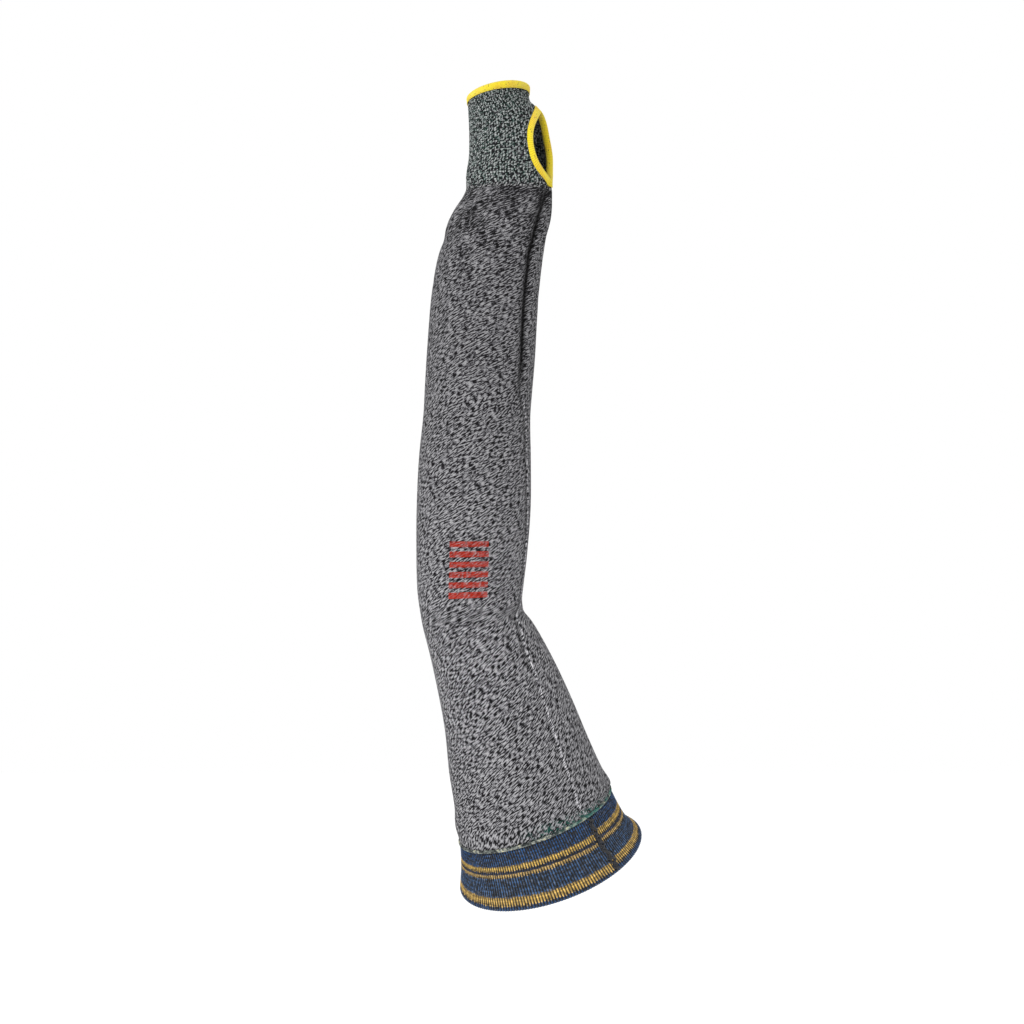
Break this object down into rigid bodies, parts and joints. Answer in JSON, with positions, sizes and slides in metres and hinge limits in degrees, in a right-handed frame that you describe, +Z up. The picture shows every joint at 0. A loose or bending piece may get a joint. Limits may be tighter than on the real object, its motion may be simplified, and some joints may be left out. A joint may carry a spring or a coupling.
{
  "type": "cut resistant sleeve",
  "caption": "Knitted protective arm sleeve in its worn shape, with a ribbed wrist cuff, a bound thumb hole and a striped elastic arm band.",
  "frame": {"origin": "centre of the arm band's lower opening, where the upper arm goes in", "axes": "+Z up along the arm to the hand opening, +X to the thumb side, +Y to the back, away from the picture's camera"},
  "size_m": [0.1571, 0.1485, 0.5706],
  "materials": {
    "body_knit": "grey and black mottled plain knit",
    "cuff_knit": "green-grey mottled fine rib",
    "binding_yarn": "bright yellow overlocked yarn",
    "link_yarn": "pale green linking stitches",
    "band_knit": "navy elastic rib with gold stripes"
  },
  "bodies": {
    "root": {"sleeve_body": "body_knit", "wrist_cuff": "cuff_knit", "wrist_binding": "binding_yarn", "thumb_binding": "binding_yarn", "band_link": "link_yarn", "arm_band": "band_knit"}
  },
  "joints": []
}
